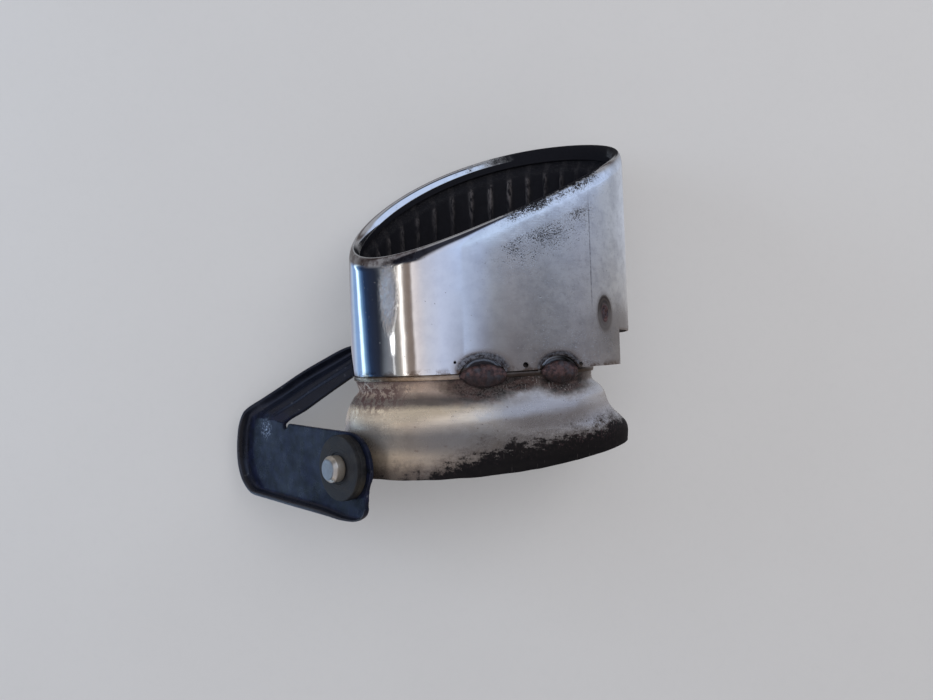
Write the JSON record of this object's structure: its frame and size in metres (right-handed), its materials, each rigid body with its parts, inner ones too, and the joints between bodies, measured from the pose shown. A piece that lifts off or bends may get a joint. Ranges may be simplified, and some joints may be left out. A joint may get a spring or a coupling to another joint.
{
  "type": "exhaust tailpipe trim",
  "caption": "Oval slash-cut exhaust outlet trim with a rolled-rim double-wall shell, a flared inlet collar and a side hanger with a rubber-isolated locating pin.",
  "frame": {"origin": "centre of the collar's inlet opening", "axes": "+Y is the gas flow direction, so -Y points out of the inlet; +X is the long axis of the oval; +Z is its short axis, pointing up when the part lies on a table"},
  "size_m": [0.2075, 0.1895, 0.0911],
  "materials": {
    "chrome_shell": "polished, dulled and pitted towards one end",
    "sooted_steel": "soot covered",
    "heat_tinted_steel": "brushed, heat tinted",
    "weld_metal": "oxidised",
    "black_coating": "glossy black coating, scuffed",
    "rubber": "matte, dusty",
    "bare_steel": "turned"
  },
  "bodies": {
    "trim_body": {"outer_shell": "chrome_shell", "inner_liner": "sooted_steel", "support_plate": "sooted_steel", "liner_tack_welds": "weld_metal", "base_ring": "heat_tinted_steel", "inlet_collar": "heat_tinted_steel", "collar_seam_weld": "weld_metal", "weld_bead_left": "weld_metal", "weld_bead_right": "weld_metal", "rear_weld_beads": "weld_metal", "plug_welds": "weld_metal", "hanger_bracket": "black_coating", "hanger_welds": "weld_metal", "rubber_isolator": "rubber", "isolator_sleeve": "bare_steel", "rear_washer": "bare_steel"},
    "pin": {"locating_pin": "bare_steel"}
  },
  "joints": [
    {"name": "pin_spin", "type": "hinge", "parent": "trim_body", "child": "pin", "pos_m": [-0.06519, 0.0031, 0.02642], "axis": [-0.7071, 0, 0.7071], "continuous": true}
  ]
}
